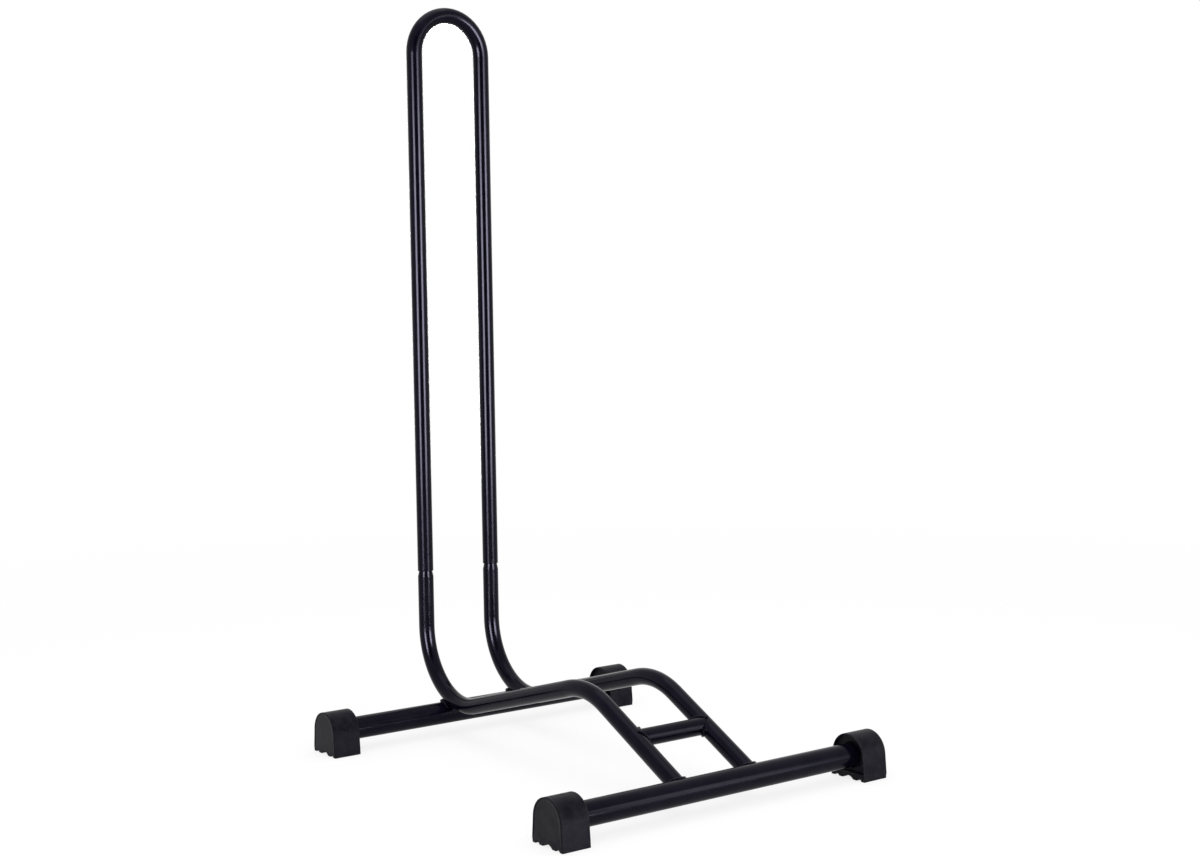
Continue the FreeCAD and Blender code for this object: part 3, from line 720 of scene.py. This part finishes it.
# %% Four feet
def rubber_foot(row_name, side_name, inner_x, axis_y, outward):
    """The profile's rings as planes across X, outward from the inner face, round the tube."""
    rings = np.stack([ring for _, ring, _ in profile]) * MM
    distances = np.array([distance for distance, _, _ in profile])[:, None] * MM
    edge = np.stack([np.maximum(amount, corner) for _, _, amount in profile])
    grid = np.stack([
        inner_x + outward * distances + 0 * rings[..., 0],
        axis_y + rings[..., 0],
        AXIS_Z + rings[..., 1],
    ], axis=-1)
    name, node = f"{row_name}_{side_name}_rubber_foot", f"{row_name}_{side_name}_foot"
    closed_piece(name, node, "rubber", grid, False, edge)


HALF_RACK = 180  # mm
for row_name, row_y in (("front", FRONT_Y), ("rear", REAR_Y)):
    for side_name, sign in SIDES:
        inner_face = sign * (HALF_RACK - FOOT_LENGTH) * MM
        rubber_foot(row_name, side_name, inner_face, row_y, sign)

# %% [markdown]
# ## Studio
#
# The photograph's background is pure white. More light could make it so, but it would grey the
# black tubes as well. Instead the world is plain white for the camera and in reflections, and
# dimmer where it lights the surfaces, so that with the lamps colours render about as they are
# written.

# %% World
WHITE = (1, 1, 1, 1)
AMBIENT = 0.80


def seen_directly(finish):
    """1 for rays from the camera and for rays that mirror or pass through, else 0."""
    names = ("Is Camera Ray", "Is Glossy Ray", "Is Transmission Ray")
    from_camera, mirrored, through = (finish.node("LightPath", output=name) for name in names)
    return from_camera.larger(mirrored).larger(through)


world = bpy.data.worlds.new("studio")
scene.world = world
sky = Finish(world)
sky.surface(sky.node("Background", sockets={
    "Color": WHITE,
    "Strength": AMBIENT + (1 - AMBIENT) * seen_directly(sky),
}), "OutputWorld")
print("the world lights surfaces with", AMBIENT, "and is seen as 1")

# %% [markdown]
# The floor is white too, and lets only a share of its shading through, so that a soft shadow of
# the rack stays and runs out with the distance. Rays that come from a mirroring tube get a
# larger share, because the undersides of the photographed tubes mirror a shaded floor.
#
# The photographed legs also mirror the lamps by way of the floor, which throws light back at low
# angles as a varnished one does. A glossy floor would show that to the camera too, so only the
# rays from the tubes meet a thin polish there, the stronger the flatter they come in.

# %% Floor
SHADOW_SHARE, MIRRORED_SHARE = 0.20, 0.80
SHADOW_FADE = (0.9, 2.0)
FLOOR_DARKER, FLOOR_LIGHTER = (0.955, 0.955, 0.955, 1), (0.975, 0.975, 0.975, 1)
FLOOR_SCALE = 40
POLISH_ROUGHNESS, POLISH_IOR = 0.12, 1.3
FLOOR_HALF = 40.0
SQUARE = np.array([[-1, -1], [1, -1], [1, 1], [-1, 1]])


def stage_piece(name, corners, material):
    """A flat piece of the studio with four corners, marked as not part of the rack."""
    mesh = bpy.data.meshes.new(name)
    mesh.from_pydata(np.asarray(corners, float).tolist(), [], [[0, 1, 2, 3]])
    mesh.materials.append(material)
    piece = bpy.data.objects.new(name, mesh)
    scene.collection.objects.link(piece)
    return piece


floor_material, ground = new_finish("white_floor")
spot = ground.place()
distance = (ground.part(spot, "X") ** 2 + ground.part(spot, "Y") ** 2) ** 0.5
in_mirror = ground.node("LightPath", output="Is Glossy Ray")
shadow_share = SHADOW_SHARE + (MIRRORED_SHARE - SHADOW_SHARE) * in_mirror
shadow_share = shadow_share * (1 - distance.step(*SHADOW_FADE))
mottle = ground.noise(spot, FLOOR_SCALE, detail=3.0)
matte_colour = ground.blend(mottle, FLOOR_DARKER, FLOOR_LIGHTER)
matte = ground.node("BsdfDiffuse", sockets={"Color": matte_colour})
glow = ground.node("Emission", sockets={"Color": WHITE, "Strength": 1.0})
whiter = seen_directly(ground) * (1 - shadow_share)
white_floor = ground.node("MixShader", sockets={0: whiter, 1: matte, 2: glow})
gloss = {"Color": WHITE, "Roughness": POLISH_ROUGHNESS}
polish = ground.node("BsdfAnisotropic", sockets=gloss)
grazing = ground.node("Fresnel", sockets={"IOR": POLISH_IOR}) ** 2
polished = {0: in_mirror * grazing, 1: white_floor, 2: polish}
ground.surface(ground.node("MixShader", sockets=polished))
floor = stage_piece("floor", np.column_stack([SQUARE * FLOOR_HALF, np.zeros(4)]), floor_material)
print("floor", 2 * FLOOR_HALF, "m wide")

# %% [markdown]
# ## Softboxes
#
# A round upright tube mirrors a tall narrow box as a line. The place of the line across the tube
# gives the box's direction, and since the mirrored ray keeps its slope, the height of a part of
# the line gives the height of the part of the box that it mirrors. The lines fade towards the
# hoop's top, so the boxes on the left and right each end in a dimmer band. Lower down they fade
# too, because there the legs mirror the boxes by way of the floor. A weaker side box draws the
# light band along the level tubes, and a rear box the lines on the hoop for views from behind.
#
# A picture of a studio wrapped round the scene could do the same, but lamps can be placed one by
# one. These work in reflections alone. In the cross tubes and the feet the bright ones would
# glare, so light linking keeps them to the hoop, the side tubes and the floor, as a grid in
# front of a real box would.

# %% Softboxes that stand upright
HOOP_FOOT = Vector((0, HOOP_Y, 0))
RACK_FOOT = Vector((0, -0.15, 0))


def lit_group(name, pieces):
    """The pieces that a lamp works on, as a collection for its light linking."""
    group = bpy.data.collections.new(name)
    for piece in pieces:
        group.objects.link(piece)
    return group


def softbox(name, centre, away, width, height, radiance, works_in, group=None):
    """An area lamp that faces back along away; its power is pi * width * height * radiance.

    It works in "diffuse" or in "glossy" light, on everything or on one group.
    """
    data = bpy.data.lights.new(name, "AREA")
    data.shape = "RECTANGLE"
    data.size, data.size_y = width, height
    data.energy = math.pi * width * height * radiance
    lamp = bpy.data.objects.new(name, data)
    scene.collection.objects.link(lamp)
    lamp.location = centre
    lamp.rotation_euler = away.to_track_quat("Z", "Y").to_euler()
    lamp.visible_camera = False
    lamp.visible_diffuse = works_in == "diffuse"
    lamp.visible_glossy = works_in == "glossy"
    lamp.light_linking.receiver_collection = group
    print(f"{name}: at {[round(value, 2) for value in centre]}, {data.energy:.0f} W")


def standing_box(name, foot, azimuth, distance, bottom, top, width, radiance, group=None):
    """A softbox on edge, from bottom to top, at a distance from a point on the floor."""
    away = direction(azimuth)
    centre = foot + away * distance + Vector((0, 0, 0.5 * (bottom + top)))
    softbox(name, centre, away, width, top - bottom, radiance, "glossy", group)


hoop = cad_nodes["wheel_hoop"]
side_tubes = [cad_nodes[name] for name in SIDE_TUBES]
upright_group = lit_group("mirrors_both_boxes", (hoop, *side_tubes, floor))
hoop_group = lit_group("mirrors_the_rear_box", (hoop,))

BOX_DISTANCE, BOX_WIDTH = 2.50, 0.98
BOX_AZIMUTHS = {"left": -62, "right": 13.5}
BOX_PARTS = {"main": (0.00, 0.88, 50.0), "dim": (0.88, 1.10, 18.0)}  # bottom, top, radiance
for box_name, azimuth in BOX_AZIMUTHS.items():
    for part_name, (bottom, top, radiance) in BOX_PARTS.items():
        size = (BOX_DISTANCE, bottom, top, BOX_WIDTH, radiance)
        standing_box(f"{box_name}_{part_name}", HOOP_FOOT, azimuth, *size, upright_group)

# foot, azimuth, distance, bottom, top, width, radiance, and what it works on
standing_box("side_box", RACK_FOOT, 37.5, 3.97, 0.0, 1.9, 0.6, 5.0)
standing_box("rear_box", HOOP_FOOT, 148.5, 2.5, 0.0, 1.0, 0.7, 22.0, hoop_group)

# %% [markdown]
# ## Soft light and a black card
#
# Three more boxes light the scene softly from above and from the front. A lamp could light
# colours and make shine at once, but the two need different strengths here, so each box does
# one of them. A black card stands beside the camera: it is what the tubes mirror between the
# two lines, where the picture is darkest. It shows in reflections alone and throws no shadow.

# %% Soft light and black card
RACK_MIDDLE = Vector((0, HOOP_Y, 0.45))
SOFT_LIGHTS = (  # name, azimuth, elevation, distance, width, radiance, what it works in
    ("overhead", 0, 90, 1.6, 1.4, 1.5, "diffuse"),
    ("overhead_gloss", 0, 90, 1.7, 1.4, 1.1, "glossy"),
    ("front_fill", -10, 30, 1.8, 1.2, 1.8, "diffuse"),
)
for name, azimuth, elevation, far, width, radiance, works_in in SOFT_LIGHTS:
    away = direction(azimuth, elevation)
    softbox(name, RACK_MIDDLE + far * away, away, width, width, radiance, works_in)

CARD_AZIMUTH, CARD_DISTANCE = -24, 2.4
CARD_WIDTH, CARD_HEIGHT = 2.3, 2.4
card_material, card_finish = new_finish("black_card")
card_finish.surface(card_finish.node("BsdfDiffuse", sockets={"Color": (0, 0, 0, 1)}))
card_foot = np.array(HOOP_FOOT + direction(CARD_AZIMUTH) * CARD_DISTANCE)
card_right = 0.5 * CARD_WIDTH * np.array(direction(CARD_AZIMUTH + 90))
card_up = 0.5 * CARD_HEIGHT * np.array([0, 0, 1.0])
card_corners = card_foot + SQUARE[:, :1] * card_right + (SQUARE[:, 1:] + 1) * card_up
card = stage_piece("black_card", card_corners, card_material)
card.visible_camera = card.visible_diffuse = card.visible_shadow = False
print(f"card: {CARD_WIDTH} x {CARD_HEIGHT} m")
